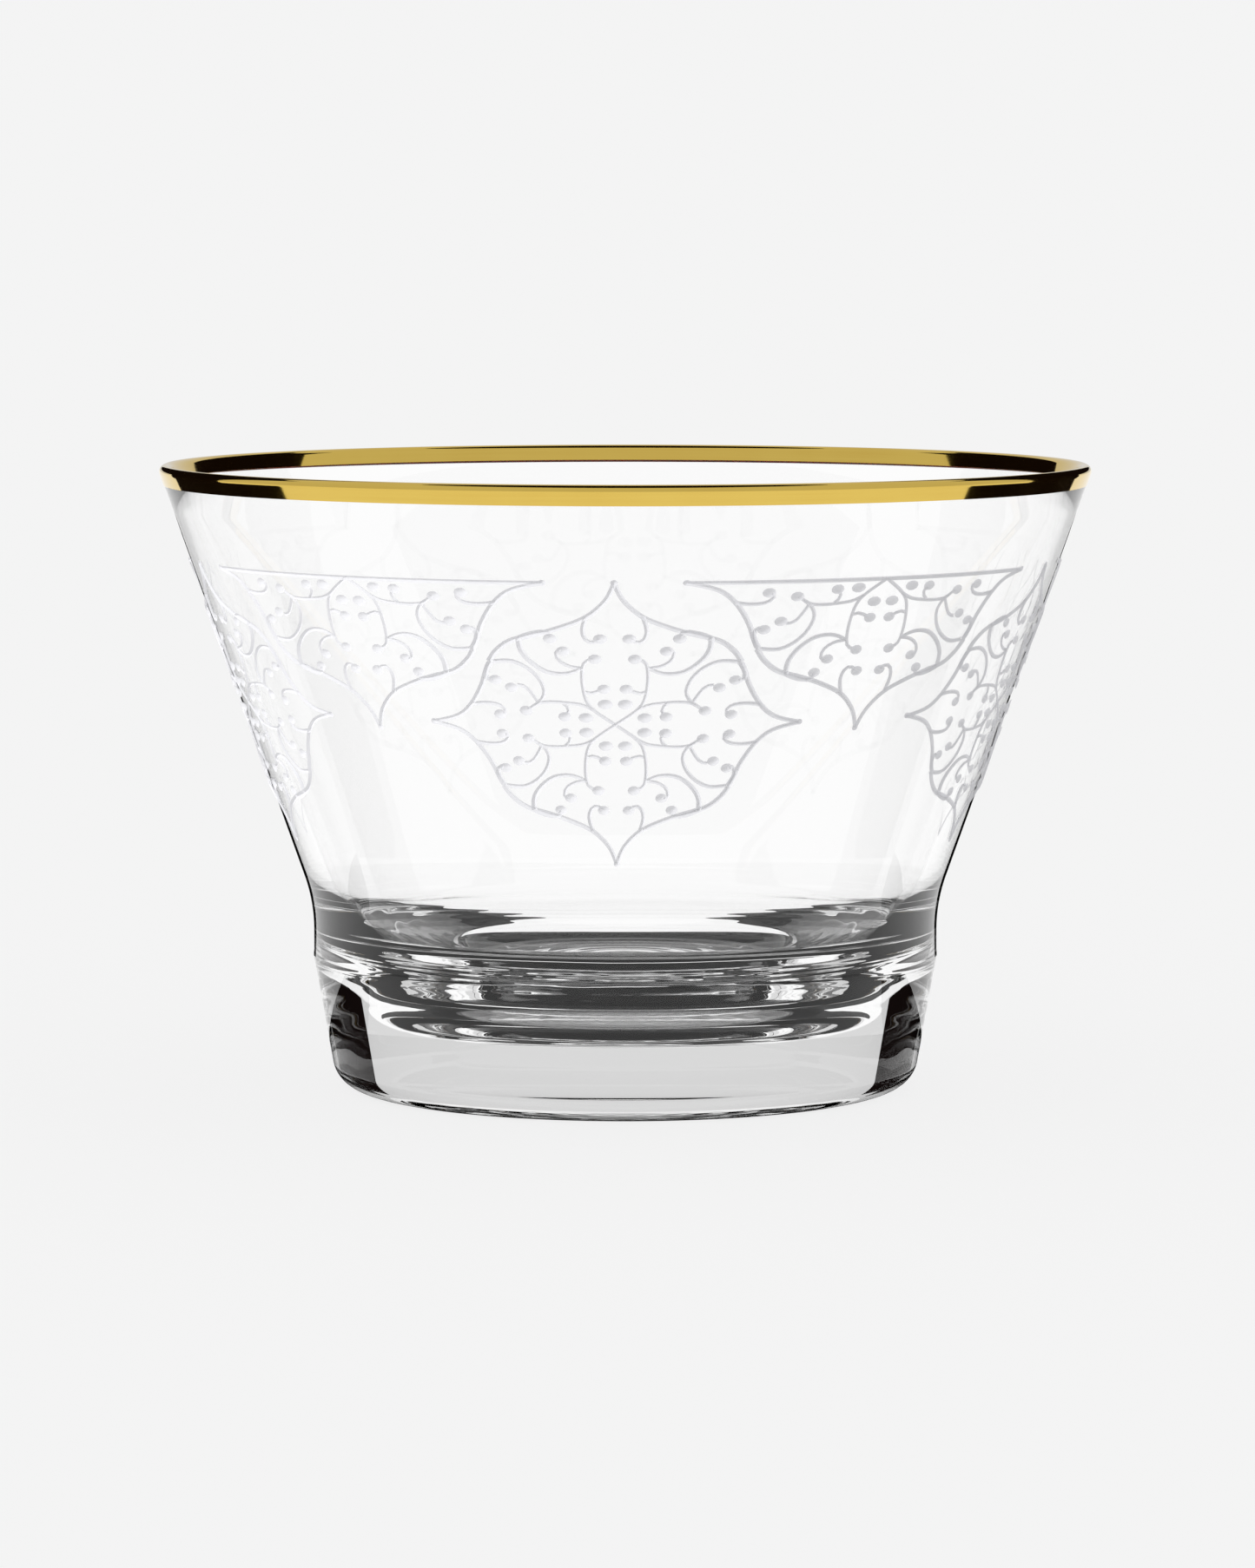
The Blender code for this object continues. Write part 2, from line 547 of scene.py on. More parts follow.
def smoothed(tree: Tree, geometry: Socket) -> Socket:
    """Shade geometry smooth, but for its sharp edges.

    Args:
        tree: A Geometry Nodes tree.
        geometry: The geometry.

    Returns:
        The same geometry, shaded.
    """
    smooth = add_node(tree, "GeometryNodeSetShadeSmooth", inputs={"Geometry": geometry})
    bend = add_node(tree, "GeometryNodeInputMeshEdgeAngle").outputs["Unsigned Angle"]
    creased = add_node(tree, "GeometryNodeSetShadeSmooth", {"domain": "EDGE"}, {
        "Geometry": smooth.outputs[0],
        "Selection": maths(tree, "GREATER_THAN", bend, CREASE),
        "Shade Smooth": False,
    })
    return creased.outputs[0]


class TurnedBodyTree:
    """Geometry Nodes tree that turns a section, drawn as a chain of points, round the Z axis."""

    def __init__(self) -> None:
        """Build the tree once; every turned piece uses it with its own inputs."""
        self.tree, self.sockets = new_tree("turned_body", "Section", "Body",
                                           {"Segments": "Int", "Finish": "Material"})
        self._link()

    def _whole_number(self, operation: str, first: Number, second: Number) -> Socket:
        """Work out one whole number."""
        return add_node(self.tree, "FunctionNodeIntegerMath", {"operation": operation},
                        {0: first, 1: second}).outputs[0]

    def _link(self) -> None:
        """Put in the nodes: a grid of section points by turns, bent into a ring and welded."""
        tree = self.tree
        given = add_node(tree, "NodeGroupInput").outputs
        size = add_node(tree, "GeometryNodeAttributeDomainSize",
                        inputs={"Geometry": given["Section"]})
        across = self._whole_number("ADD", given["Segments"], 1)
        grid = add_node(tree, "GeometryNodeMeshGrid", inputs={
            "Vertices X": size.outputs["Point Count"], "Vertices Y": across,
        })
        index = add_node(tree, "GeometryNodeInputIndex").outputs[0]
        place = add_node(tree, "GeometryNodeInputPosition")
        section = add_node(tree, "GeometryNodeSampleIndex", {"data_type": "FLOAT_VECTOR"}, {
            "Geometry": given["Section"],
            "Value": place.outputs[0],
            "Index": self._whole_number("DIVIDE_FLOOR", index, across),
        })
        share = maths(tree, "DIVIDE", self._whole_number("MODULO", index, across),
                      given["Segments"])
        turned = add_node(tree, "ShaderNodeVectorRotate", {"rotation_type": "Z_AXIS"}, {
            "Vector": section.outputs[0], "Angle": maths(tree, "MULTIPLY", share, FULL_TURN),
        })
        laid = add_node(tree, "GeometryNodeSetPosition", inputs={
            "Geometry": grid.outputs["Mesh"], "Position": turned.outputs[0],
        })
        closed = add_node(tree, "GeometryNodeMergeByDistance",
                          inputs={"Geometry": laid.outputs[0], "Distance": WELD_DISTANCE})
        whole = add_node(tree, "GeometryNodeRealizeInstances",
                         inputs={"Geometry": closed.outputs[0]})
        dressed = add_node(tree, "GeometryNodeSetMaterial", inputs={
            "Geometry": smoothed(tree, whole.outputs[0]), "Material": given["Finish"],
        })
        add_node(tree, "NodeGroupOutput", inputs={"Body": dressed.outputs[0]})


def baked_piece(name: str, source: Piece) -> Piece:
    """Turn an object with live Geometry Nodes into a plain mesh object of that name.

    Args:
        name: The finished piece's name.
        source: The object that carries the modifier; it is removed.

    Returns:
        The finished piece, at the origin, with no modifier.
    """
    depsgraph = bpy.context.evaluated_depsgraph_get()
    mesh = bpy.data.meshes.new_from_object(source.evaluated_get(depsgraph), depsgraph=depsgraph)
    mesh.name = name
    finish = mesh.materials[-1]
    mesh.materials.clear()
    mesh.materials.append(finish)
    mesh.polygons.foreach_set("material_index", [0] * len(mesh.polygons))
    draft = source.data
    bpy.data.objects.remove(source, do_unlink=True)
    bpy.data.meshes.remove(draft)
    piece = bpy.data.objects.new(name, mesh)
    bpy.context.scene.collection.objects.link(piece)
    return piece


def draft_object(name: str, points: list, edges: list, attributes: dict) -> Piece:
    """Make an object of loose points and edges that Geometry Nodes will turn into a piece.

    Args:
        name: The finished piece's name.
        points: The points, in metres.
        edges: Pairs of point numbers.
        attributes: Names with one number, or one triple, for each point.

    Returns:
        The object, linked to the scene.
    """
    mesh = bpy.data.meshes.new(name + "_draft")
    mesh.from_pydata(points, edges, [])
    for title, values in attributes.items():
        if isinstance(values[0], float):
            layer = mesh.attributes.new(title, "FLOAT", "POINT")
            layer.data.foreach_set("value", values)
        else:
            layer = mesh.attributes.new(title, "FLOAT_VECTOR", "POINT")
            layer.data.foreach_set("vector", [number for triple in values for number in triple])
    draft = bpy.data.objects.new(name + "_draft", mesh)
    bpy.context.scene.collection.objects.link(draft)
    return draft


def add_tree(target: Piece, kind: "TurnedBodyTree | EngravingTree", values: dict) -> None:
    """Give an object a Geometry Nodes modifier.

    Args:
        target: The object.
        kind: The class that holds the node tree and its sockets.
        values: Input names and their values.
    """
    modifier = target.modifiers.new(kind.tree.name, "NODES")
    modifier.node_group = kind.tree
    for name, value in values.items():
        modifier[kind.sockets[name]] = value


def turned_piece(name: str, outline: list[Point], segments: int, lathe: TurnedBodyTree,
                 finish: Material) -> Piece:
    """Turn a section round the Z axis.

    Args:
        name: The finished piece's name.
        outline: The section, as radius and height in millimetres.
        segments: Number of facets round the axis.
        lathe: The tree that turns a section.
        finish: The piece's material.

    Returns:
        The finished piece.
    """
    points = [(radius * MM, 0.0, height * MM) for radius, height in outline]
    edges = [(number, number + 1) for number in range(len(points) - 1)]
    draft = draft_object(name, points, edges, {})
    add_tree(draft, lathe, {"Segments": segments, "Finish": finish})
    return baked_piece(name, draft)


@dataclass
class BowlShape:
    """Section of the bowl, in millimetres; shared by the glass, the gold and the ornament."""

    height: float
    rim_wall: float = 1.4
    low_wall: float = 2.6
    cone_slope: float = 0.352
    cone_reach: float = 29.27
    waist_fillet: float = 20.0
    shoulder_radius: float = 37.1
    shoulder_height: float = 15.8
    shoulder_round: float = 3.0
    foot_slope: float = 0.18
    corner_round: float = 3.6
    ring_inner_radius: float = 26.0
    recess_depth: float = 1.2
    floor_height: float = 8.3
    well_radius: float = 20.6
    well_height: float = 12.2
    well_flat: float = 14.0
    well_dip: float = 0.1
    well_lean: float = 0.6
    flare_height: float = 20.0
    flare_reach: float = 3.2
    flare_lean: float = 0.5
    low_wall_height: float = 25.5
    floor_steps: int = 56
    wall_steps: int = 12
    lip_steps: int = 16
    waist_steps: int = 24
    shoulder_steps: int = 16
    corner_steps: int = 20
    recess_steps: int = 24

    @property
    def wall_angle(self) -> float:
        """Lean of the outer wall from upright, in radians."""
        return math.atan(self.cone_slope)

    @property
    def foot_angle(self) -> float:
        """Lean of the foot's side from upright, in radians."""
        return math.atan(self.foot_slope)

    def outer_radius(self, height: float) -> float:
        """Radius of the outer cone at a height."""
        return self.cone_reach + self.cone_slope * height

    def wall_point(self, inset: float, height: float) -> Point:
        """Point on the outer cone at a height, moved into the wall by an inset."""
        return (self.outer_radius(height) - inset / math.cos(self.wall_angle), height)

    def lip_centre(self) -> Point:
        """Centre of the half round that closes the lip."""
        return self.wall_point(self.rim_wall / 2.0, self.height - self.rim_wall / 2.0)

    def inner_line(self) -> Point:
        """Line that the inner wall follows.

        Returns:
            Its slope, and its radius at height 0.
        """
        top_radius, top = self.wall_point(self.rim_wall, self.height)
        low_radius, low = self.wall_point(self.low_wall, self.low_wall_height)
        slope = (top_radius - low_radius) / (top - low)
        return slope, low_radius - slope * low

    def floor_outline(self) -> list[Point]:
        """Flat-bottomed well and the flare from its side to the inner cone.

        Returns:
            The points, from the axis outwards.
        """
        slope, reach = self.inner_line()
        side = (self.well_radius, self.well_height)
        meeting = (reach + slope * self.flare_height, self.flare_height)
        low = (meeting[0] - slope * self.flare_reach, meeting[1] - self.flare_reach)
        above = (self.well_radius + self.flare_lean, self.well_height + self.flare_reach)
        well = bezier((0.0, self.floor_height), (self.well_flat, self.floor_height - self.well_dip),
                      (self.well_radius - self.well_lean, self.floor_height), side,
                      self.floor_steps)
        return well + bezier(side, above, low, meeting, self.floor_steps)[1:]

    def lip_outline(self) -> list[Point]:
        """Half round of the lip, from the inner wall over the top to the outer wall."""
        return arc(self.lip_centre(), self.rim_wall / 2.0, math.pi - self.wall_angle,
                   -self.wall_angle, self.lip_steps)

    def waist_outline(self) -> list[Point]:
        """Hollow fillet from the cone to the waist.

        Returns:
            The points, from the cone down to where the fillet stands upright.
        """
        waist = self.shoulder_radius - self.shoulder_round * (1.0 - math.cos(self.foot_angle))
        centre_radius = waist + self.waist_fillet
        cone_at_touch = centre_radius - self.waist_fillet / math.cos(self.wall_angle)
        centre = (centre_radius, (cone_at_touch - self.cone_reach) / self.cone_slope)
        return arc(centre, self.waist_fillet, math.pi - self.wall_angle, math.pi,
                   self.waist_steps)

    def shoulder_outline(self) -> list[Point]:
        """Round shoulder at the top of the foot."""
        centre = (self.shoulder_radius - self.shoulder_round, self.shoulder_height)
        return arc(centre, self.shoulder_round, self.foot_angle, -self.foot_angle,
                   self.shoulder_steps)

    def corner_outline(self) -> list[Point]:
        """Rounded bottom corner of the foot.

        Returns:
            The points, from the foot's side to the resting ring.
        """
        side = self.shoulder_outline()[-1]
        drop = side[1] - self.corner_round * (1.0 - math.sin(self.foot_angle))
        side_radius = side[0] - self.foot_slope * drop
        centre = (side_radius - self.corner_round * math.cos(self.foot_angle), self.corner_round)
        return arc(centre, self.corner_round, -self.foot_angle, -math.pi / 2.0, self.corner_steps)

    def recess_outline(self) -> list[Point]:
        """Shallow dish under the foot.

        Returns:
            The points, from the resting ring to the axis.
        """
        sphere = (self.ring_inner_radius ** 2 + self.recess_depth ** 2) / (2.0 * self.recess_depth)
        points = []
        for step in range(self.recess_steps + 1):
            radius = self.ring_inner_radius * (1.0 - step / self.recess_steps)
            rise = math.sqrt(sphere ** 2 - radius ** 2) - sphere
            points.append((radius, self.recess_depth + rise))
        return points

    def glass_outline(self) -> list[Point]:
        """Whole section of the glass.

        Returns:
            The points, from the axis inside to the axis underneath.
        """
        floor = self.floor_outline()
        lip = self.lip_outline()
        waist = self.waist_outline()
        return (floor + straight(floor[-1], lip[0], self.wall_steps)
                + lip + straight(lip[-1], waist[0], self.wall_steps)
                + waist + self.shoulder_outline() + self.corner_outline() + self.recess_outline())


@dataclass
class BowlGlass:
    """The one-piece glass body."""

    shape: BowlShape
    segments: int = 256

    def build(self, lathe: TurnedBodyTree, finish: Material) -> Piece:
        """Turn the section and dress it.

        Args:
            lathe: The tree that turns a section.
            finish: The glass.

        Returns:
            The finished piece.
        """
        piece = turned_piece("bowl_glass", self.shape.glass_outline(), self.segments, lathe, finish)
        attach(piece, "root")
        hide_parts("glass_bowl")
        return piece


@dataclass
class GoldBand:
    """The gold film over the lip; sizes in millimetres."""

    shape: BowlShape
    outer_depth: float = 2.3
    inner_depth: float = 1.8
    film: float = 0.05
    lift: float = 0.02
    segments: int = 256

    def outline(self) -> list[Point]:
        """Closed section of the film, wrapped over the lip.

        Returns:
            The points; the last repeats the first.
        """
        shape = self.shape
        outer_bottom = shape.height - self.outer_depth
        inner_bottom = shape.height - self.inner_depth
        centre = shape.lip_centre()
        lean = shape.wall_angle
        half = shape.rim_wall / 2.0
        outer = half + self.lift + self.film
        inner = half + self.lift
        outside = [shape.wall_point(half - outer, outer_bottom)]
        outside += arc(centre, outer, -lean, math.pi - lean, shape.lip_steps)
        outside.append(shape.wall_point(half + outer, inner_bottom))
        lining = [shape.wall_point(half + inner, inner_bottom)]
        lining += arc(centre, inner, math.pi - lean, -lean, shape.lip_steps)
        lining.append(shape.wall_point(half - inner, outer_bottom))
        return (outside + lining + outside[:1])[::-1]

    def build(self, lathe: TurnedBodyTree, finish: Material) -> Piece:
        """Turn the film's section and dress it.

        Args:
            lathe: The tree that turns a section.
            finish: The gold.

        Returns:
            The finished piece.
        """
        piece = turned_piece("gold_band", self.outline(), self.segments, lathe, finish)
        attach(piece, "root")
        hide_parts("gold_rim")
        return piece


@dataclass(frozen=True)
class Stroke:
    """One engraved line of the motif.

    Its points are millimetres along the wall: sideways from the motif's middle, and up the
    slope from it. The width runs evenly from the first point's to the last one's.
    """

    points: tuple[Point, ...]
    first_width: float = 0.62
    last_width: float = 0.62
    dimple: tuple[float, float] | None = None

    def smooth(self, steps: int) -> Corners:
        """Curve through the points, with its width.

        Args:
            steps: Number of stretches between two given points.

        Returns:
            Sideways, upward and width at each point of the curve.
        """
        given = (self.points[0],) + self.points + (self.points[-1],)
        curve = []
        for number in range(len(given) - 3):
            around = given[number:number + 4]
            for step in range(steps):
                curve.append(tuple(spline_value([point[axis] for point in around], step / steps)
                                   for axis in (0, 1)))
        curve.append(self.points[-1])
        last = len(curve) - 1
        return [(point[0], point[1], self.first_width
                 + (self.last_width - self.first_width) * place / last)
                for place, point in enumerate(curve)]


def spline_value(around: list[float], share: float) -> float:
    """Value of a smooth curve between the second and third of four numbers.

    Args:
        around: The four numbers.
        share: How far along, from 0 to 1.

    Returns:
        The value there.
    """
    before, start, end, after = around
    bend = 2.0 * before - 5.0 * start + 4.0 * end - after
    twist = 3.0 * (start - end) + after - before
    return start + 0.5 * share * (end - before + share * (bend + share * twist))


@dataclass(frozen=True)
class Arabesque:
    """One quarter of the engraved motif; the other three are its mirror images.

    Sizes in millimetres, measured along the wall.
    """

    reach: float = 21.2
    rise: float = 17.2
    dimple_size: tuple[float, float] = (0.86, 0.68)
    eye_size: tuple[float, float] = (0.98, 0.70)
    knob_size: tuple[float, float] = (0.46, 0.42)
    fine: float = 0.50
    middle: float = 0.62
    bold: float = 0.80
    half_stretch: tuple[float, float] = (1.02, 1.06)

    def outline_strokes(self) -> list[Stroke]:
        """The pointed leaf that frames the motif.

        Returns:
            Their strokes.
        """
        return [
            Stroke(((0.0, self.rise), (0.9, 15.1), (2.9, 13.1), (5.7, 11.8), (8.1, 11.0),
                    (10.9, 10.2), (12.6, 8.9), (13.5, 7.6)), self.middle, self.bold),
            Stroke(((13.3, 7.6), (13.9, 6.6), (14.7, 4.6), (16.2, 2.3), (18.1, 0.8),
                    (self.reach, 0.0)), self.bold, self.middle),
        ]

    def heart_strokes(self) -> list[Stroke]:
        """The two hooks that make a heart at each tip.

        Returns:
            Their strokes.
        """
        return [
            Stroke(((2.9, 13.1), (3.3, 11.6), (3.1, 10.5), (2.4, 10.0), (1.6, 10.4)),
                   self.middle, self.fine, (1.5, 10.5)),
            Stroke(((16.2, 2.3), (14.8, 2.5), (13.3, 2.4), (12.4, 1.9), (12.4, 1.2)),
                   self.middle, self.fine, (12.9, 1.2)),
        ]

    def petal_strokes(self) -> list[Stroke]:
        """The four petals round the middle, with the small hooks on their eyes.

        Returns:
            Their strokes.
        """
        return [
            Stroke(((0.0, 0.0), (2.4, 1.8), (3.2, 3.1), (3.5, 4.9), (3.5, 6.5), (3.2, 7.6),
                    (2.4, 8.0)), self.fine, self.fine, (2.1, 8.05)),
            Stroke(((2.4, 1.8), (3.6, 2.4), (5.3, 2.65), (7.0, 2.75), (8.4, 2.6), (9.2, 2.1),
                    (9.7, 1.75)), self.fine, self.fine, (9.9, 1.7)),
            Stroke(((3.3, 4.0), (2.5, 3.85), (1.5, 4.3)), self.fine, self.fine, (1.2, 4.4)),
            Stroke(((5.7, 2.6), (5.1, 1.9), (5.4, 1.2)), self.fine, self.fine, (5.6, 1.0)),
        ]

    def scroll_strokes(self) -> list[Stroke]:
        """The four scrolls between the petals and the outline.

        Returns:
            Their strokes.
        """
        return [
            Stroke(((10.0, 10.6), (9.9, 9.1), (9.0, 7.7), (7.4, 6.5), (5.8, 6.2), (4.6, 6.4),
                    (3.5, 6.9)), self.bold, self.fine),
            Stroke(((10.0, 10.5), (8.9, 11.0), (7.5, 11.3), (6.8, 11.1), (6.7, 10.7)),
                   self.bold, self.middle, (6.7, 10.5)),
            Stroke(((3.5, 6.9), (4.8, 7.1), (5.9, 7.8), (6.2, 8.7), (5.8, 9.2)),
                   self.fine, self.fine, (5.4, 9.0)),
            Stroke(((13.2, 7.6), (11.1, 7.7), (9.4, 6.9), (8.2, 5.6), (7.7, 4.1), (8.1, 3.0),
                    (8.9, 2.3)), self.middle, self.fine),
            Stroke(((8.5, 2.7), (9.0, 3.6), (9.8, 4.6), (10.7, 4.8)),
                   self.fine, self.fine, (11.3, 4.5)),
            Stroke(((13.5, 7.4), (14.0, 6.3), (13.9, 5.5), (13.4, 5.2)),
                   self.bold, self.middle, (13.0, 5.4)),
        ]

    def eyes(self) -> list[Point]:
        """Places of the dimples that stand on no stroke."""
        return [(1.1, 2.55), (3.25, 0.9)]

    def strokes(self) -> list[Stroke]:
        """Every stroke of the quarter."""
        return (self.outline_strokes() + self.heart_strokes() + self.petal_strokes()
                + self.scroll_strokes())

    def draft(self, motif: Motif, steps: int) -> Piece:
        """Draw the quarter flat, as chains with a width and loose points with a size.

        Args:
            motif: Which of the two figures it is for; the half one gets its straight line.
            steps: Number of stretches between two given points of a stroke.

        Returns:
            The object, with the attributes half_width and dimple.
        """
        strokes = self.strokes()
        wide, tall = self.half_stretch if motif is Motif.HALF else (1.0, 1.0)
        if motif is Motif.HALF:
            strokes.append(Stroke(((0.0, 0.0), (self.reach / 2.0, 0.0), (self.reach, 0.0)),
                                  self.middle, self.middle))
        points = []
        widths = []
        edges = []
        for stroke in strokes:
            first = len(points)
            for sideways, upward, width in stroke.smooth(steps):
                points.append((sideways * wide * MM, upward * tall * MM, 0.0))
                widths.append(width / 2.0 * MM)
            edges.extend((number, number + 1) for number in range(first, len(points) - 1))
        sizes = [(0.0, 0.0, 0.0)] * len(points)
        balls = [(stroke.dimple, self.dimple_size) for stroke in strokes if stroke.dimple]
        balls += [(place, self.eye_size) for place in self.eyes()]
        balls += [(place, self.knob_size) for place in ((0.0, self.rise), (self.reach, 0.0))]
        for place, size in balls:
            points.append((place[0] * wide * MM, place[1] * tall * MM, 0.0))
            widths.append(0.0)
            sizes.append((size[0] * MM, size[1] * MM, size[1] * MM))
        return draft_object(f"engraving_{motif.value}", points, edges,
                            {"half_width": widths, "dimple": sizes})


@dataclass
class EngravingTree:
    """Geometry Nodes tree that cuts a flat drawing and wraps it round the cone, several times.

    Each line becomes a gutter between two low lips, and each dimple a shallow dish. They lie on
    the wall, so that the glass under them stays whole. Sizes are shares of a line's half width
    or a dimple's radius, but for the stretch between two points of a line, in millimetres.
    """

    lip_height: float = 0.80
    lip_place: float = 0.84
    dish_depth: float = 0.55
    dish_segments: int = 10
    dish_rings: int = 6
    dish_equator: float = 0.01
    dish_floor: float = 0.03
    hollow_floor: float = 0.12
    stretch: float = 0.55

    def __post_init__(self) -> None:
        """Build the tree once; both motifs use it with their own inputs."""
        self.tree, self.sockets = new_tree("engraving", "Drawing", "Engraving", {
            "Upper Half": "Bool", "Copies": "Int", "Azimuth": "Float", "Height": "Float",
            "Measured Radius": "Float", "Cone Reach": "Float", "Cone Slope": "Float",
            "Clearance": "Float", "Finish": "Material",
        })
        self._link()

    def _joined(self, parts: list) -> Socket:
        """Join geometries.

        Args:
            parts: Their sockets.

        Returns:
            The joined geometry.
        """
        join = add_node(self.tree, "GeometryNodeJoinGeometry")
        for part in reversed(parts):
            self.tree.links.new(part, join.inputs[0])
        return join.outputs[0]

    def _mirrored(self, part: Socket, scale: tuple) -> Socket:
        """Mirror a drawing in its own plane."""
        return add_node(self.tree, "GeometryNodeTransform",
                        inputs={"Geometry": part, "Scale": scale}).outputs[0]

    def _maths(self, operation: str, first: Number, second: Number = 0.0) -> Socket:
        """Work out one number."""
        return maths(self.tree, operation, first, second)

    def _place(self) -> Sockets:
        """The three parts of a point's place."""
        where = add_node(self.tree, "GeometryNodeInputPosition")
        return add_node(self.tree, "ShaderNodeSeparateXYZ", inputs={0: where.outputs[0]}).outputs

    def _attribute(self, name: str, kind: str) -> Socket:
        """Read a named attribute."""
        return add_node(self.tree, "GeometryNodeInputNamedAttribute", {"data_type": kind},
                        {"Name": name}).outputs["Attribute"]

    def _drawing(self, given: Sockets) -> Socket:
        """Mirror the quarter to the whole drawing, or to its lower half.

        Args:
            given: The tree's inputs.

        Returns:
            The drawing.
        """
        quarter = given["Drawing"]
        upper = self._joined([quarter, self._mirrored(quarter, (-1.0, 1.0, 1.0))])
        lower = self._mirrored(upper, (1.0, -1.0, 1.0))
        switch = add_node(self.tree, "GeometryNodeSwitch", {"input_type": "GEOMETRY"}, {
            "Switch": given["Upper Half"],
            "False": lower,
            "True": self._joined([upper, lower]),
        })
        return switch.outputs[0]

    def _gutter_section(self) -> Socket:
        """Section of a line for a half width of 1.

        Returns:
            A closed curve with two lips and a hollow between them.
        """
        place = self.lip_place
        frame_curve = add_node(self.tree, "GeometryNodeCurvePrimitiveQuadrilateral",
                               {"mode": "POINTS"}, {
                                   "Point 1": (1.0, 0.0, 0.0),
                                   "Point 2": (-1.0, 0.0, 0.0),
                                   "Point 3": (-place, -self.lip_height, 0.0),
                                   "Point 4": (place, -self.lip_height, 0.0),
                               })
        finer = add_node(self.tree, "GeometryNodeSubdivideCurve",
                         inputs={"Curve": frame_curve.outputs[0], "Cuts": 1})
        axes = self._place()
        away = self._maths("ABSOLUTE", axes["X"])
        share = self._maths("MINIMUM", self._maths("DIVIDE", away, place), 1.0)
        height = self._maths("MULTIPLY", axes["Y"],
                             self._maths("MAXIMUM", share, self.hollow_floor))
        shaped = add_node(self.tree, "ShaderNodeCombineXYZ", inputs={"X": axes["X"], "Y": height})
        section = add_node(self.tree, "GeometryNodeSetPosition", inputs={
            "Geometry": finer.outputs[0], "Position": shaped.outputs[0],
        })
        return section.outputs[0]

    def _lines(self, drawing: Socket) -> Socket:
        """Cut the lines.

        Args:
            drawing: The flat drawing.

        Returns:
            A gutter along every line.
        """
        curve = add_node(self.tree, "GeometryNodeMeshToCurve", inputs={"Mesh": drawing})
        even = add_node(self.tree, "GeometryNodeResampleCurve", {"mode": "LENGTH"},
                        {"Curve": curve.outputs[0], "Length": self.stretch * MM})
        level = add_node(self.tree, "GeometryNodeSetCurveNormal", {"mode": "Z_UP"},
                         {"Curve": even.outputs[0]})
        cut = add_node(self.tree, "GeometryNodeCurveToMesh", inputs={
            "Curve": level.outputs[0],
            "Profile Curve": self._gutter_section(),
            "Scale": self._attribute("half_width", "FLOAT"),
            "Fill Caps": True,
        })
        return cut.outputs[0]

    def _dish(self) -> Socket:
        """One dimple of radius 1.

        Returns:
            A shallow dish with a rim.
        """
        ball = add_node(self.tree, "GeometryNodeMeshUVSphere", inputs={
            "Segments": self.dish_segments, "Rings": self.dish_rings, "Radius": 1.0,
        })
        axes = self._place()
        above = self._maths("GREATER_THAN", axes["Z"], self.dish_equator)
        flat = self._maths("SUBTRACT", 1.0, self._maths("POWER", axes["Z"], 2.0))
        rise = self._maths("MULTIPLY", flat, self.dish_depth)
        height = self._maths("MULTIPLY", above, self._maths("ADD", rise, self.dish_floor))
        shaped = add_node(self.tree, "ShaderNodeCombineXYZ", inputs={
            "X": axes["X"], "Y": axes["Y"], "Z": height,
        })
        dish = add_node(self.tree, "GeometryNodeSetPosition", inputs={
            "Geometry": ball.outputs[0], "Position": shaped.outputs[0],
        })
        return dish.outputs[0]

    def _dimples(self, drawing: Socket) -> Socket:
        """Put a dish on every point that has a size.

        Args:
            drawing: The flat drawing.

        Returns:
            The dishes.
        """
        size = self._attribute("dimple", "FLOAT_VECTOR")
        length = add_node(self.tree, "ShaderNodeVectorMath", {"operation": "LENGTH"}, {0: size})
        wanted = self._maths("GREATER_THAN", length.outputs["Value"], 0.0)
        points = add_node(self.tree, "GeometryNodeMeshToPoints",
                          inputs={"Mesh": drawing, "Selection": wanted})
        placed = add_node(self.tree, "GeometryNodeInstanceOnPoints", inputs={
            "Points": points.outputs[0], "Instance": self._dish(), "Scale": size,
        })
        return add_node(self.tree, "GeometryNodeRealizeInstances",
                        inputs={"Geometry": placed.outputs[0]}).outputs[0]

    def _wrapped(self, flat: Socket,
                 given: Sockets) -> Socket:
        """Lay the flat relief on the cone.

        Args:
            flat: The relief, drawn in its own plane.
            given: The tree's inputs.

        Returns:
            The relief on the wall.
        """
        axes = self._place()
        lean = self._maths("ARCTANGENT", given["Cone Slope"])
        upright = self._maths("COSINE", lean)
        leaning = self._maths("SINE", lean)
        lift = self._maths("ADD", axes["Z"], given["Clearance"])
        height = self._maths("ADD", given["Height"], self._maths("MULTIPLY", axes["Y"], upright))
        radius = self._maths("ADD", given["Cone Reach"],
                             self._maths("MULTIPLY", height, given["Cone Slope"]))
        outer = self._maths("ADD", radius, self._maths("MULTIPLY", lift, upright))
        lower = self._maths("SUBTRACT", height, self._maths("MULTIPLY", lift, leaning))
        turn = self._maths("ADD", given["Azimuth"],
                           self._maths("DIVIDE", axes["X"], given["Measured Radius"]))
        across = self._maths("MULTIPLY", outer, self._maths("SINE", turn))
        along = self._maths("MULTIPLY", outer, self._maths("COSINE", turn))
        place = add_node(self.tree, "ShaderNodeCombineXYZ", inputs={
            "X": across, "Y": self._maths("MULTIPLY", along, -1.0), "Z": lower,
        })
        laid = add_node(self.tree, "GeometryNodeSetPosition",
                        inputs={"Geometry": flat, "Position": place.outputs[0]})
        return laid.outputs[0]

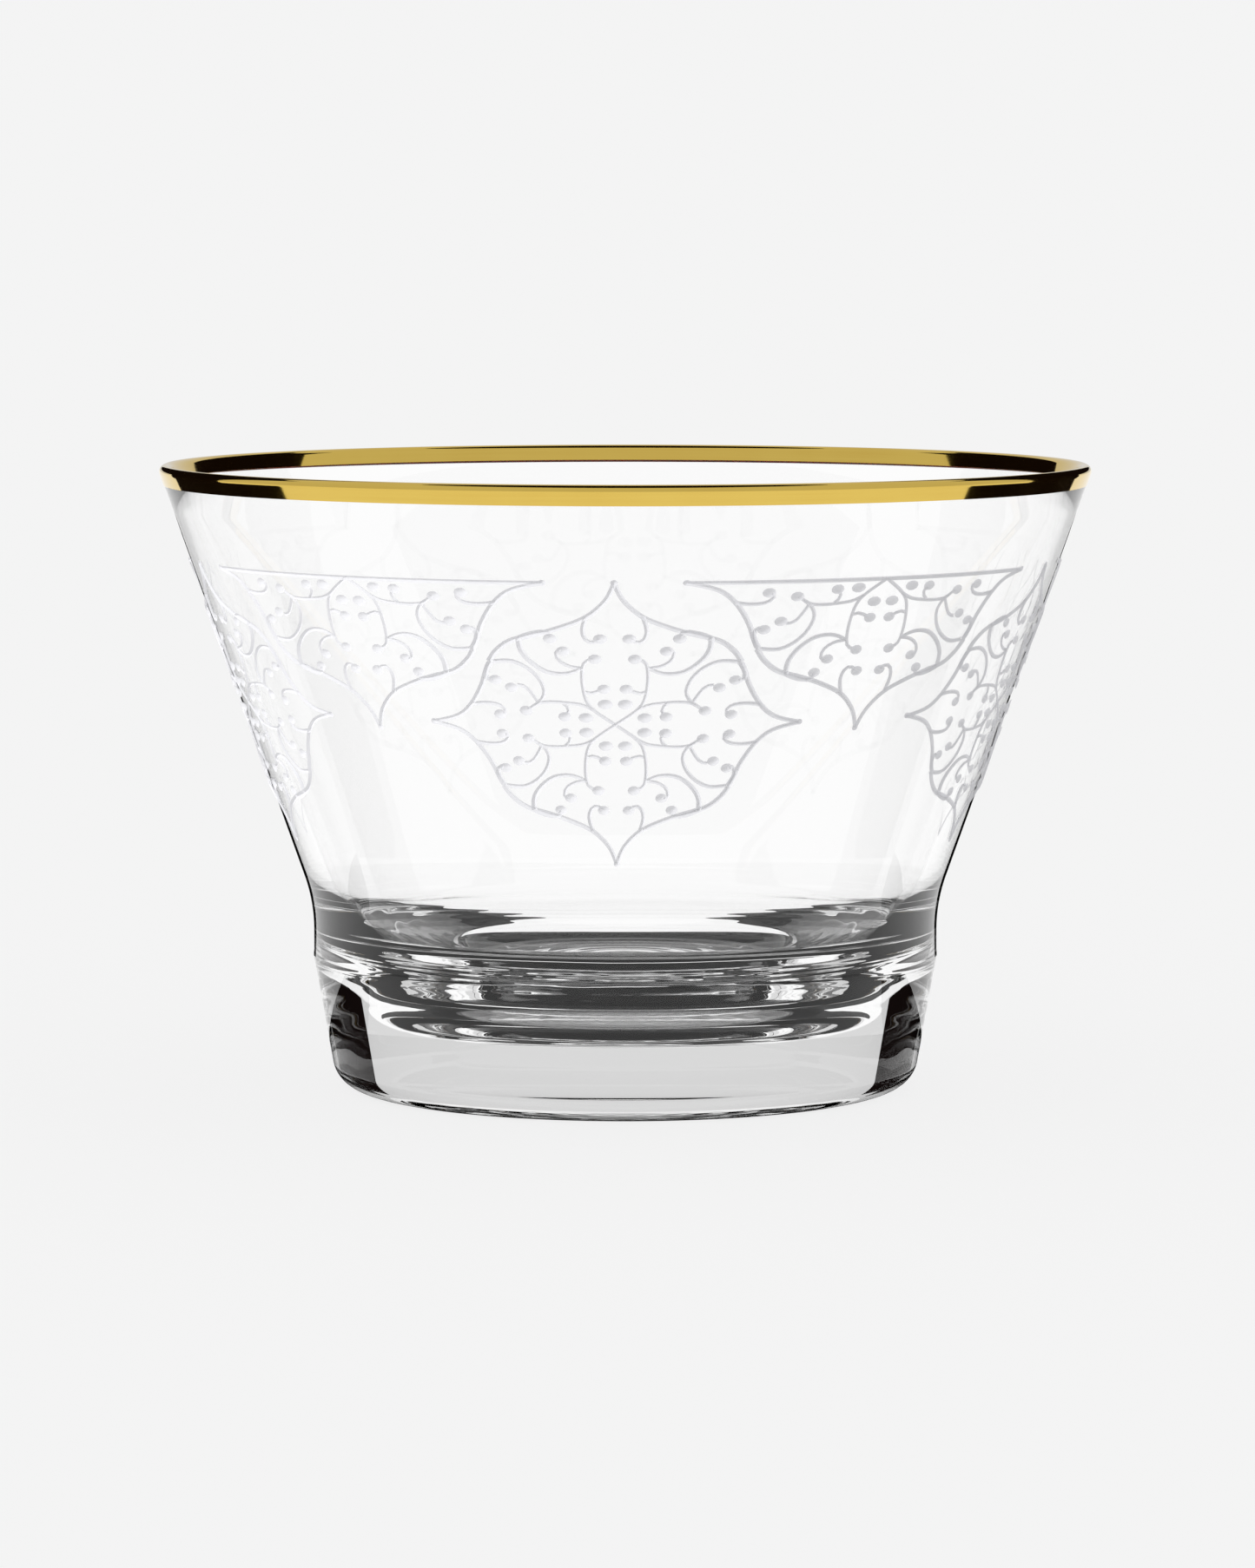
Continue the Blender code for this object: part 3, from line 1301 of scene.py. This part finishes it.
    def _copies(self, one: Socket, count: Socket) -> Socket:
        """Repeat one motif evenly round the axis.

        Args:
            one: The motif.
            count: How many there are in all.

        Returns:
            All of them, as real geometry.
        """
        ring = add_node(self.tree, "GeometryNodePoints", inputs={"Count": count})
        index = add_node(self.tree, "GeometryNodeInputIndex")
        step = self._maths("DIVIDE", FULL_TURN, count)
        turn = add_node(self.tree, "ShaderNodeCombineXYZ",
                        inputs={"Z": self._maths("MULTIPLY", index.outputs[0], step)})
        copies = add_node(self.tree, "GeometryNodeInstanceOnPoints", inputs={
            "Points": ring.outputs[0], "Instance": one, "Rotation": turn.outputs[0],
        })
        return add_node(self.tree, "GeometryNodeRealizeInstances",
                        inputs={"Geometry": copies.outputs[0]}).outputs[0]

    def _link(self) -> None:
        """Put in the nodes: mirror, cut, wrap, repeat and dress."""
        given = add_node(self.tree, "NodeGroupInput").outputs
        drawing = self._drawing(given)
        relief = self._joined([self._lines(drawing), self._dimples(drawing)])
        motif = smoothed(self.tree, self._wrapped(relief, given))
        dressed = add_node(self.tree, "GeometryNodeSetMaterial", inputs={
            "Geometry": self._copies(motif, given["Copies"]), "Material": given["Finish"],
        })
        add_node(self.tree, "NodeGroupOutput", inputs={"Engraving": dressed.outputs[0]})


@dataclass
class Engraving:
    """The engraved frieze: five whole motifs, and five half ones hung from lines between them.

    Sizes in millimetres, angles in degrees.
    """

    shape: BowlShape
    copies: int = 5
    first_azimuth: float = -1.35
    whole_height: float = 46.9
    line_height: float = 63.1
    measured_radius: float = 45.8
    clearance: float = 0.012
    steps: int = 4

    def build(self, motif: Motif, cutter: EngravingTree,
              finish: Material) -> Piece:
        """Cut one of the two figures all the way round.

        Args:
            motif: Which figure.
            cutter: The tree that cuts and wraps.
            finish: The matt glass of the cut.

        Returns:
            The finished piece.
        """
        whole = motif is Motif.WHOLE
        azimuth = self.first_azimuth if whole else self.first_azimuth + 180.0 / self.copies
        draft = Arabesque().draft(motif, self.steps)
        add_tree(draft, cutter, {
            "Upper Half": whole,
            "Copies": self.copies,
            "Azimuth": math.radians(azimuth),
            "Height": (self.whole_height if whole else self.line_height) * MM,
            "Measured Radius": self.measured_radius * MM,
            "Cone Reach": self.shape.cone_reach * MM,
            "Cone Slope": self.shape.cone_slope,
            "Clearance": self.clearance * MM,
            "Finish": finish,
        })
        piece = baked_piece(f"engraving_{motif.value}", draft)
        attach(piece, "root")
        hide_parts("glass_bowl")
        return piece


@dataclass
class Studio:
    """Bright-field set: a white light table, a white tent, and black cards out of the picture.

    Distances in metres, angles in degrees: azimuths from straight behind the bowl, and the
    ceilings' from level.
    """

    seen_white: float = 0.904
    table_glow: float = 1.0
    tent_glow: float = 0.72
    table_size: float = 40.0
    matt_share: float = 0.10
    flag_distance: float = 0.30
    flag_start: float = 41.0
    flag_end: float = 71.0
    flag_bottom: float = 0.0
    flag_top: float = 0.35
    flag_steps: int = 4
    high_start: float = 19.0
    high_bottom: float = 0.09
    gold_card_near: float = 0.14
    gold_card_far: float = 0.36
    gold_card_front: float = -0.016
    gold_card_rear: float = 0.235
    strip_distance: float = 0.12
    strip_inner: float = 0.042
    strip_outer: float = 0.074
    strip_bottom: float = 0.0005
    strip_top: float = 0.058
    low_card_height: float = 0.002
    disc_height: float = 0.0001
    band_height: float = 0.00015
    mat_height: float = 0.0002
    disc_radius: float = 0.053
    band_half_width: float = 0.085
    band_front: float = 0.008
    mat_half_width: float = 0.060
    mat_rear: float = 0.040
    mat_front: float = 0.046
    ceiling_height: float = 0.8
    ceiling_start: float = 29.0
    high_ceiling_start: float = 66.0
    oval_steps: int = 48
    key_strength: float = 2.6
    key_softness: float = 20.0
    key_azimuth: float = -46.0
    key_height: float = 34.0
    velvet: str = "0d0d0d"
    warm_velvet: str = "150e0d"

    def light_split(self, tree: Tree, seen: Socket,
                    glow: Socket) -> Socket:
        """Use one shader where it is looked at directly, and another where it lights glass.

        Args:
            tree: The tree of a material or of the world.
            seen: What the camera sees.
            glow: What every other ray meets.

        Returns:
            The mixed shader.
        """
        path = add_node(tree, "ShaderNodeLightPath")
        mixed = add_node(tree, "ShaderNodeMixShader", inputs={
            0: path.outputs["Is Camera Ray"], 1: glow, 2: seen,
        })
        return mixed.outputs[0]

    def build_world(self) -> None:
        """Even white surroundings."""
        world = bpy.data.worlds.new("white_tent")
        world.use_nodes = True
        world.node_tree.nodes.clear()
        tree = world.node_tree
        seen, glow = (add_node(tree, "ShaderNodeBackground", inputs={
            "Color": WHITE, "Strength": strength,
        }).outputs[0] for strength in (self.seen_white, self.tent_glow))
        add_node(tree, "ShaderNodeOutputWorld",
                 inputs={"Surface": self.light_split(tree, seen, glow)})
        bpy.context.scene.world = world

    def build_table(self) -> None:
        """Light table that the bowl stands on: opal acrylic, lit from below, a little matt."""
        material, tree = new_material("opal_acrylic_table")
        lit = self.seen_white - self.matt_share * self.tent_glow
        own = add_node(tree, "ShaderNodeEmission", inputs={"Strength": lit})
        matt = add_node(tree, "ShaderNodeBsdfDiffuse", inputs={
            "Color": (self.matt_share, self.matt_share, self.matt_share, 1.0),
        })
        seen = add_node(tree, "ShaderNodeAddShader", inputs={0: own.outputs[0], 1: matt.outputs[0]})
        glow = add_node(tree, "ShaderNodeEmission", inputs={"Strength": self.table_glow})
        mixed = self.light_split(tree, seen.outputs[0], glow.outputs[0])
        add_node(tree, "ShaderNodeOutputMaterial", inputs={"Surface": mixed})
        half = self.table_size / 2.0
        self.sheet("light_table", [(-half, -half, 0.0), (half, -half, 0.0),
                                   (half, half, 0.0), (-half, half, 0.0)], material)

    def sheet(self, name: str, corners: Corners,
              material: Material) -> Piece:
        """Flat sheet of the set.

        Args:
            name: Its name.
            corners: Its corners in order.
            material: Its finish.

        Returns:
            The sheet.
        """
        mesh = bpy.data.meshes.new(name)
        mesh.from_pydata(corners, [], [tuple(range(len(corners)))])
        mesh.materials.append(material)
        sheet = bpy.data.objects.new(name, mesh)
        bpy.context.scene.collection.objects.link(sheet)
        return sheet

    def black_card(self, name: str, corners: Corners,
                   seen_by: Sight) -> None:
        """Black card out of the picture, which only darkens what refracts or mirrors it.

        Args:
            name: Its name.
            corners: Its corners in order.
            seen_by: The rays that meet it.
        """
        gold_only = seen_by in (Sight.GOLD, Sight.GOLD_OR_REFRACTED)
        card = self.sheet(name, corners, self.gold_black if gold_only else self.black)
        card.visible_camera = False
        card.visible_diffuse = False
        card.visible_shadow = False
        card.visible_transmission = seen_by not in (Sight.MIRRORED, Sight.GOLD)
        card.visible_glossy = seen_by is not Sight.REFRACTED

    def build_blacks(self) -> None:
        """Black velvet for the cards; the second kind is missed by the glass's sharp mirror."""
        self.black, tree = new_material("black_velvet")
        dark = add_node(tree, "ShaderNodeBsdfDiffuse",
                        inputs={"Color": linear_colour(self.velvet)})
        add_node(tree, "ShaderNodeOutputMaterial", inputs={"Surface": dark.outputs[0]})
        self.gold_black, tree = new_material("black_velvet_for_gold")
        dark = add_node(tree, "ShaderNodeBsdfDiffuse",
                        inputs={"Color": linear_colour(self.warm_velvet)})
        clear = add_node(tree, "ShaderNodeBsdfTransparent")
        path = add_node(tree, "ShaderNodeLightPath").outputs
        mixed = add_node(tree, "ShaderNodeMixShader", inputs={
            0: maths(tree, "MULTIPLY", path["Is Singular Ray"], path["Is Reflection Ray"]),
            1: dark.outputs[0],
            2: clear.outputs[0],
        })
        add_node(tree, "ShaderNodeOutputMaterial", inputs={"Surface": mixed.outputs[0]})

    def upright(self, first: Point, second: Point, bottom: float, top: float) -> list:
        """Corners of an upright card over a line on the table."""
        return [(*first, bottom), (*second, bottom), (*second, top), (*first, top)]

    def oval(self, half_width: float, rear: float, front: float, height: float) -> list:
        """Corners of a level oval whose rear half and front half have their own depths.

        Args:
            half_width: Half its width.
            rear: Depth of its rear half.
            front: Depth of its front half.
            height: Its height over the table.

        Returns:
            The corners in order.
        """
        rim = []
        for step in range(self.oval_steps):
            angle = FULL_TURN * step / self.oval_steps
            depth = rear if step <= self.oval_steps / 2 else front
            rim.append((half_width * math.cos(angle), depth * math.sin(angle), height))
        return rim

    def build_ovals(self) -> None:
        """Black disc and mat under the foot and black ceiling, which darken the thick floor."""
        for name, half_width, front, height, seen_by in (
                ("disc", self.disc_radius, self.disc_radius, self.disc_height, Sight.MIRRORED),
                ("band", self.band_half_width, self.band_front, self.band_height,
                 Sight.MIRRORED),
                ("mat", self.mat_half_width, self.mat_front, self.mat_height,
                 Sight.REFRACTED)):
            mat = self.oval(half_width, self.mat_rear, front, height)
            self.black_card(f"black_{name}", mat, seen_by)
        for name, start, seen_by in (("wide", self.ceiling_start, Sight.REFRACTED),
                                     ("narrow", self.high_ceiling_start, Sight.GOLD)):
            reach = self.ceiling_height / math.tan(math.radians(start))
            ceiling = self.oval(reach, reach, reach, self.ceiling_height)
            self.black_card(f"black_ceiling_{name}", ceiling, seen_by)

    def build_flags(self, side: Side) -> None:
        """Upright black flags behind the bowl, which darken the sides of the foot.

        Args:
            side: Which side they stand on.
        """
        places = []
        for step in range(self.flag_steps + 1):
            angle = math.radians(self.flag_start
                                 + (self.flag_end - self.flag_start) * step / self.flag_steps)
            places.append((side.value * self.flag_distance * math.sin(angle),
                           self.flag_distance * math.cos(angle)))
        for number, (first, second) in enumerate(zip(places, places[1:])):
            corners = self.upright(first, second, self.flag_bottom, self.flag_top)
            self.black_card(f"black_flag_{side.name.lower()}_{number}", corners,
                            Sight.GOLD_OR_REFRACTED)

    def build_gold_cards(self, side: Side) -> None:
        """Black cards beside and behind the bowl, which give the gold its dark stretches.

        Args:
            side: Which side they are on.
        """
        outline = [(self.gold_card_near, self.gold_card_front),
                   (self.gold_card_far, self.gold_card_front),
                   (self.gold_card_far, self.gold_card_rear),
                   (self.gold_card_near, self.gold_card_rear)]
        corners = [(side.value * across, along, self.low_card_height) for across, along in outline]
        self.black_card(f"black_low_card_{side.name.lower()}", corners, Sight.GOLD)
        places = []
        for angle in (self.high_start, self.flag_start):
            turn = math.radians(angle)
            places.append((side.value * self.flag_distance * math.sin(turn),
                           self.flag_distance * math.cos(turn)))
        corners = self.upright(places[0], places[1], self.high_bottom, self.flag_top)
        self.black_card(f"black_high_card_{side.name.lower()}", corners, Sight.GOLD)

    def build_strip(self, side: Side) -> None:
        """Narrow black strip close behind the bowl, which draws a dark line along its edge.

        Args:
            side: Which side it is on.
        """
        first = (side.value * self.strip_inner, self.strip_distance)
        second = (side.value * self.strip_outer, self.strip_distance)
        corners = self.upright(first, second, self.strip_bottom, self.strip_top)
        self.black_card(f"black_strip_{side.name.lower()}", corners, Sight.MIRRORED)

    def build_key(self, lit: list[Piece]) -> None:
        """Soft key lamp from the upper left that brings out the engraving.

        Args:
            lit: The only pieces that it lights.
        """
        data = bpy.data.lights.new("key_lamp", "SUN")
        data.energy = self.key_strength
        data.angle = math.radians(self.key_softness)
        lamp = bpy.data.objects.new("key_lamp", data)
        lamp.rotation_euler = (math.radians(90.0 - self.key_height), 0.0,
                               math.radians(self.key_azimuth))
        bpy.context.scene.collection.objects.link(lamp)
        group = bpy.data.collections.new("lit_by_key")
        for piece in lit:
            group.objects.link(piece)
        lamp.light_linking.receiver_collection = group

    def build(self, engraved: list[Piece]) -> None:
        """Put up the whole set.

        Args:
            engraved: The pieces that the key lamp is for.
        """
        self.build_blacks()
        self.build_world()
        self.build_table()
        self.build_ovals()
        for side in Side:
            self.build_flags(side)
            self.build_gold_cards(side)
            self.build_strip(side)
        self.build_key(engraved)


@dataclass
class ProductCamera:
    """Long lens just above the rim; sizes in millimetres, angle in degrees."""

    distance: float = 760.0
    height: float = 107.2
    offset: float = 0.26
    tilt: float = 5.36
    lens: float = 147.25

    def build(self) -> None:
        """Add the camera and make it the scene's own."""
        data = bpy.data.cameras.new("product_camera")
        data.lens = self.lens
        data.clip_start = 0.01
        camera = bpy.data.objects.new("product_camera", data)
        camera.location = (self.offset * MM, -self.distance * MM, self.height * MM)
        camera.rotation_euler = (math.radians(90.0 - self.tilt), 0.0, 0.0)
        bpy.context.scene.collection.objects.link(camera)
        bpy.context.scene.camera = camera


def main() -> None:
    """Build the bowl, its set and its camera."""
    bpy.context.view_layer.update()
    scene = bpy.context.scene
    scene.view_settings.view_transform = "Standard"
    scene.cycles.max_bounces = LIGHT_BOUNCES
    scene.cycles.transmission_bounces = LIGHT_BOUNCES
    scene.cycles.glossy_bounces = MIRROR_BOUNCES
    scene.cycles.transparent_max_bounces = LIGHT_BOUNCES
    shape = BowlShape(height=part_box("gold_rim")[1][2] / MM)
    lathe = TurnedBodyTree()
    pieces = [BowlGlass(shape).build(lathe, SodaLimeGlass().build()),
              GoldBand(shape).build(lathe, FiredGold().build())]
    cutter = EngravingTree()
    matt = MattEngraving().build()
    for motif in Motif:
        pieces.append(Engraving(shape).build(motif, cutter, matt))
    for piece in pieces:
        log.info("%s: %d faces", piece.name, len(piece.data.polygons))
    Studio().build(pieces[2:])
    ProductCamera().build()


if __name__ == "__main__":
    main()
